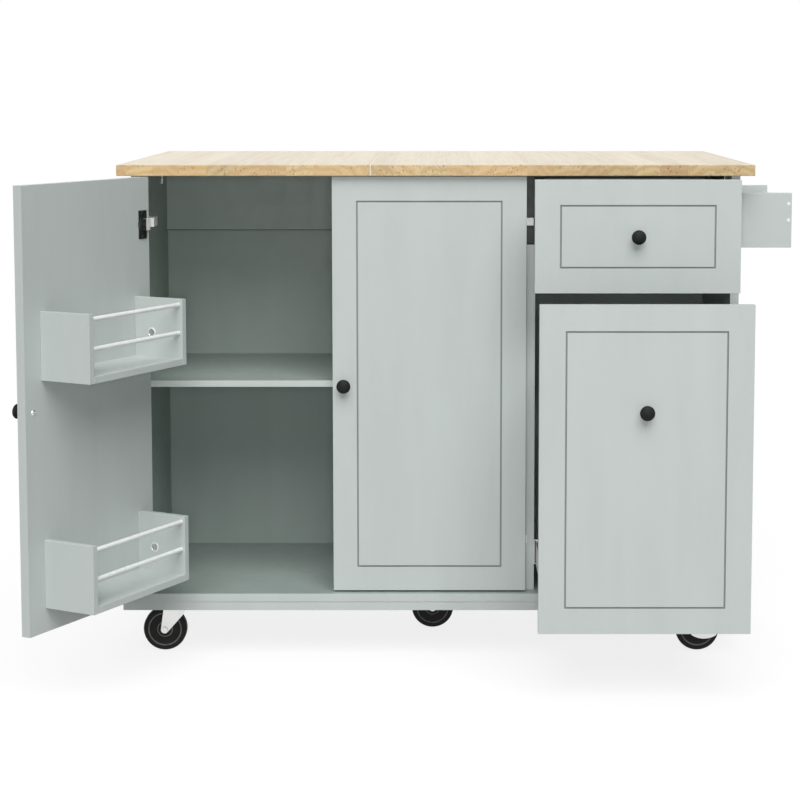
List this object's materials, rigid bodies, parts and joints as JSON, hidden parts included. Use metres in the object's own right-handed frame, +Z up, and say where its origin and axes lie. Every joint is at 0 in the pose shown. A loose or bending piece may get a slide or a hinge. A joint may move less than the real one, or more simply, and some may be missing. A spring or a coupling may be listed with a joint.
{
  "type": "drop leaf kitchen island",
  "caption": "Wheeled kitchen island with a wooden drop leaf worktop, a door with racks, a plain door, a drawer, a tall pull-out and a towel rail.",
  "frame": {"origin": "on the floor under the middle of the box that the island fills at rest, with the left door open, both drawers out and the leaf up", "axes": "+X along the worktop to the right, +Y from the front to the back, +Z up"},
  "size_m": [1.359, 1.0352, 0.904],
  "materials": {
    "painted_board": "satin paint over board",
    "worktop_wood": "clear satin lacquer over jointed staves",
    "nickel_hardware": "nickel plated",
    "zinc_hardware": "bright zinc plated",
    "white_steel": "white gloss paint",
    "black_knob": "matt black paint",
    "wheel_black": "smooth"
  },
  "bodies": {
    "cabinet": {"worktop_left_board": "worktop_wood", "worktop_right_board": "worktop_wood", "worktop_brackets": "nickel_hardware", "left_side_panel": "painted_board", "right_side_panel": "painted_board", "centre_divider": "painted_board", "bottom_panel": "painted_board", "base_rails": "painted_board", "back_panel": "painted_board", "top_rear_rail": "painted_board", "interior_shelf": "painted_board", "shelf_pins": "nickel_hardware", "door_hinge_plates": "nickel_hardware", "slide_outers": "zinc_hardware", "towel_brackets": "painted_board", "towel_rail": "painted_board", "towel_rail_screws": "white_steel", "leaf_hinge_fixed_plates": "nickel_hardware", "stay_wall_plates": "zinc_hardware", "caster_plates": "zinc_hardware"},
    "left_door": {"left_door": "painted_board", "left_hinge_cups": "nickel_hardware", "left_door_knob": "black_knob", "rack_ends": "painted_board", "rack_shelves": "painted_board", "rack_rods": "white_steel", "rack_cam_locks": "nickel_hardware"},
    "right_door": {"right_door": "painted_board", "right_hinge_cups": "nickel_hardware", "right_door_knob": "black_knob"},
    "drawer": {"drawer_front": "painted_board", "drawer_walls": "painted_board", "drawer_bottom": "painted_board", "drawer_slide_inners": "zinc_hardware", "drawer_knob": "black_knob"},
    "drawer_runner": {"drawer_slide_middles": "zinc_hardware"},
    "bin_drawer": {"bin_front": "painted_board", "bin_walls": "painted_board", "bin_bottom": "painted_board", "bin_slide_inners": "zinc_hardware", "bin_knob": "black_knob"},
    "bin_runner": {"bin_slide_middles": "zinc_hardware"},
    "leaf": {"drop_leaf": "worktop_wood", "leaf_hinge_moving_plates": "nickel_hardware", "stay_leaf_plates": "zinc_hardware"},
    "stay_lower": {"stay_lower_arms": "zinc_hardware"},
    "stay_upper": {"stay_upper_arms": "zinc_hardware"},
    "front_left_caster": {"front_left_fork": "zinc_hardware"},
    "front_left_wheel": {"front_left_wheel": "wheel_black"},
    "front_right_caster": {"front_right_fork": "zinc_hardware"},
    "front_right_wheel": {"front_right_wheel": "wheel_black"},
    "centre_caster": {"centre_fork": "zinc_hardware"},
    "centre_wheel": {"centre_wheel": "wheel_black"},
    "rear_left_caster": {"rear_left_fork": "zinc_hardware"},
    "rear_left_wheel": {"rear_left_wheel": "wheel_black"},
    "rear_right_caster": {"rear_right_fork": "zinc_hardware"},
    "rear_right_wheel": {"rear_right_wheel": "wheel_black"},
    "front_right_pedal": {"front_right_brake": "zinc_hardware"},
    "rear_left_pedal": {"rear_left_brake": "zinc_hardware"}
  },
  "joints": [
    {"name": "left_door_swing", "type": "hinge", "parent": "cabinet", "child": "left_door", "pos_m": [-0.50905, -0.19614, 0.503], "axis": [0, 0, -1], "range_deg": [-118, 0]},
    {"name": "right_door_swing", "type": "hinge", "parent": "cabinet", "child": "right_door", "pos_m": [0.18715, -0.19614, 0.503], "axis": [0, 0, 1], "range_deg": [0, 90]},
    {"name": "drawer_slide", "type": "slide", "parent": "cabinet", "child": "drawer", "axis": [0, -1, 0], "range_m": [-0.126, 0.179]},
    {"name": "drawer_runner_slide", "type": "slide", "parent": "cabinet", "child": "drawer_runner", "axis": [0, -1, 0], "range_m": [-0.0635, 0.09]},
    {"name": "bin_slide", "type": "slide", "parent": "cabinet", "child": "bin_drawer", "axis": [0, -1, 0], "range_m": [-0.295, 0.01]},
    {"name": "bin_runner_slide", "type": "slide", "parent": "cabinet", "child": "bin_runner", "axis": [0, -1, 0], "range_m": [-0.148, 0.0055]},
    {"name": "leaf_fold", "type": "hinge", "parent": "cabinet", "child": "leaf", "pos_m": [0.02755, 0.23317, 0.8805], "axis": [-1, 0, 0], "range_deg": [0, 90]},
    {"name": "stay_lower_fold", "type": "hinge", "parent": "cabinet", "child": "stay_lower", "pos_m": [0.02755, 0.22567, 0.7105], "axis": [1, 0, 0], "range_deg": [0, 47.7]},
    {"name": "stay_upper_fold", "type": "hinge", "parent": "leaf", "child": "stay_upper", "pos_m": [0.02755, 0.40316, 0.873], "axis": [-1, 0, 0], "range_deg": [0, 42.6]},
    {"name": "front_left_swivel", "type": "hinge", "parent": "cabinet", "child": "front_left_caster", "pos_m": [-0.46445, -0.14283, 0.095], "axis": [0, 0, 1], "continuous": true},
    {"name": "front_left_roll", "type": "hinge", "parent": "front_left_caster", "child": "front_left_wheel", "pos_m": [-0.47545, -0.14283, 0.04], "axis": [0, 1, 0], "continuous": true},
    {"name": "front_right_swivel", "type": "hinge", "parent": "cabinet", "child": "front_right_caster", "pos_m": [0.52455, -0.14283, 0.095], "axis": [0, 0, 1], "continuous": true},
    {"name": "front_right_roll", "type": "hinge", "parent": "front_right_caster", "child": "front_right_wheel", "pos_m": [0.51355, -0.14283, 0.04], "axis": [0, 1, 0], "continuous": true},
    {"name": "centre_swivel", "type": "hinge", "parent": "cabinet", "child": "centre_caster", "pos_m": [0.03255, 0.01417, 0.095], "axis": [0, 0, 1], "continuous": true},
    {"name": "centre_roll", "type": "hinge", "parent": "centre_caster", "child": "centre_wheel", "pos_m": [0.02155, 0.01417, 0.04], "axis": [0, 1, 0], "continuous": true},
    {"name": "rear_left_swivel", "type": "hinge", "parent": "cabinet", "child": "rear_left_caster", "pos_m": [-0.46445, 0.17117, 0.095], "axis": [0, 0, 1], "continuous": true},
    {"name": "rear_left_roll", "type": "hinge", "parent": "rear_left_caster", "child": "rear_left_wheel", "pos_m": [-0.47545, 0.17117, 0.04], "axis": [0, 1, 0], "continuous": true},
    {"name": "rear_right_swivel", "type": "hinge", "parent": "cabinet", "child": "rear_right_caster", "pos_m": [0.52455, 0.17117, 0.095], "axis": [0, 0, 1], "continuous": true},
    {"name": "rear_right_roll", "type": "hinge", "parent": "rear_right_caster", "child": "rear_right_wheel", "pos_m": [0.51355, 0.17117, 0.04], "axis": [0, 1, 0], "continuous": true},
    {"name": "front_right_brake", "type": "hinge", "parent": "front_right_caster", "child": "front_right_pedal", "pos_m": [0.52455, -0.16434, 0.0845], "axis": [-1, 0, 0], "range_deg": [0, 15]},
    {"name": "rear_left_brake", "type": "hinge", "parent": "rear_left_caster", "child": "rear_left_pedal", "pos_m": [-0.46445, 0.14966, 0.0845], "axis": [-1, 0, 0], "range_deg": [0, 15]}
  ],
  "couplings": [
    {"joint": "drawer_runner_slide", "follows": "drawer_slide", "ratio": 0.5},
    {"joint": "bin_runner_slide", "follows": "bin_slide", "ratio": 0.5},
    {"joint": "stay_lower_fold", "follows": "leaf_fold", "ratio": 0.52807},
    {"joint": "stay_upper_fold", "follows": "leaf_fold", "ratio": 0.47193}
  ]
}
